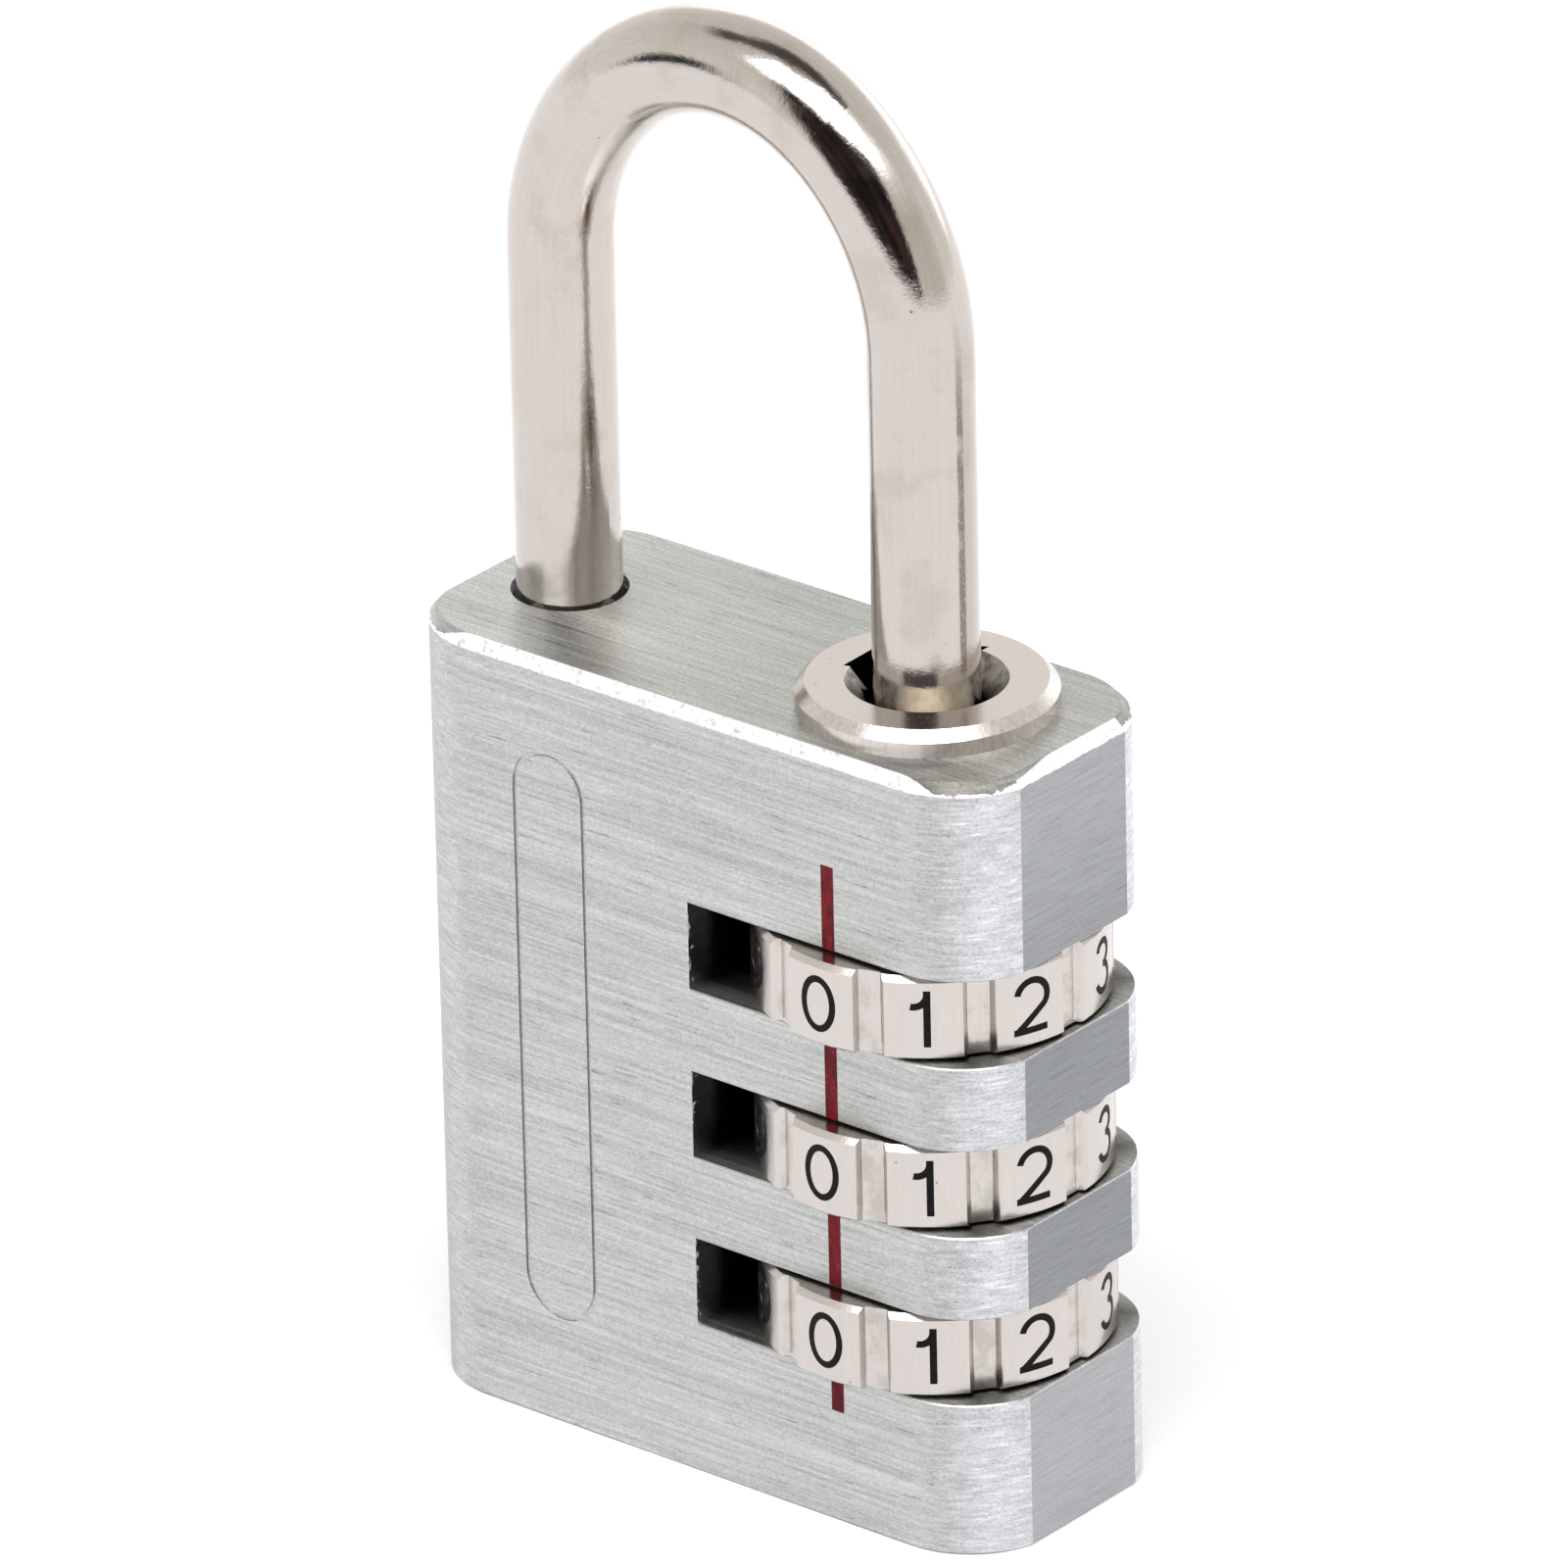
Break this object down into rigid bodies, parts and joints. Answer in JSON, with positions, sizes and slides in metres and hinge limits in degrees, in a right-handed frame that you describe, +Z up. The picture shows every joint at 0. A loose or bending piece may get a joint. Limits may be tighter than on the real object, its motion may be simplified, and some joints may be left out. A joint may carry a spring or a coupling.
{
  "type": "combination padlock",
  "caption": "Small brushed aluminium combination padlock with fluted number dials along one side, a red index line and a nickel-plated shackle that lifts when the code is set.",
  "frame": {"origin": "centre of the body's flat base, where the padlock stands", "axes": "+Z up along the shackle legs, +X along the body's width towards the dials, -Y out of the front face that carries the index line"},
  "size_m": [0.04, 0.0194, 0.082],
  "materials": {
    "body_aluminium": "brushed satin",
    "shackle_nickel": "polished nickel plate",
    "collar_nickel": "polished nickel plate",
    "dial_nickel": "satin nickel plate",
    "digit_enamel": "black enamel fill",
    "index_enamel": "dark red enamel fill",
    "sleeve_brass": "machined",
    "spring_steel": "drawn wire",
    "spacer_steel": "turned",
    "plug_aluminium": "turned"
  },
  "bodies": {
    "case": {"lock_body": "body_aluminium", "index_line": "index_enamel", "collar_bush": "collar_nickel", "base_plug": "plug_aluminium", "channel_plug": "plug_aluminium", "click_spring": "spring_steel", "thrust_ring": "spacer_steel", "sleeve_spacer_lower": "spacer_steel", "sleeve_spacer_upper": "spacer_steel", "reset_spring": "spring_steel", "shackle_spring": "spring_steel"},
    "shackle": {"shackle": "shackle_nickel"},
    "bottom_dial": {"dial_bottom": "dial_nickel", "code_sleeve_bottom": "sleeve_brass", "numerals_bottom": "digit_enamel"},
    "middle_dial": {"dial_middle": "dial_nickel", "code_sleeve_middle": "sleeve_brass", "numerals_middle": "digit_enamel"},
    "top_dial": {"dial_top": "dial_nickel", "code_sleeve_top": "sleeve_brass", "numerals_top": "digit_enamel"}
  },
  "joints": [
    {"name": "shackle_lift", "type": "slide", "parent": "case", "child": "shackle", "axis": [0, 0, 1], "range_m": [0, 0.0082], "deforming": ["shackle_spring"]},
    {"name": "bottom_dial_turn", "type": "hinge", "parent": "case", "child": "bottom_dial", "pos_m": [0.0102, 0, 0.0115], "axis": [0, 0, 1], "continuous": true},
    {"name": "middle_dial_turn", "type": "hinge", "parent": "case", "child": "middle_dial", "pos_m": [0.0102, 0, 0.0215], "axis": [0, 0, 1], "continuous": true},
    {"name": "top_dial_turn", "type": "hinge", "parent": "case", "child": "top_dial", "pos_m": [0.0102, 0, 0.0315], "axis": [0, 0, 1], "continuous": true}
  ]
}
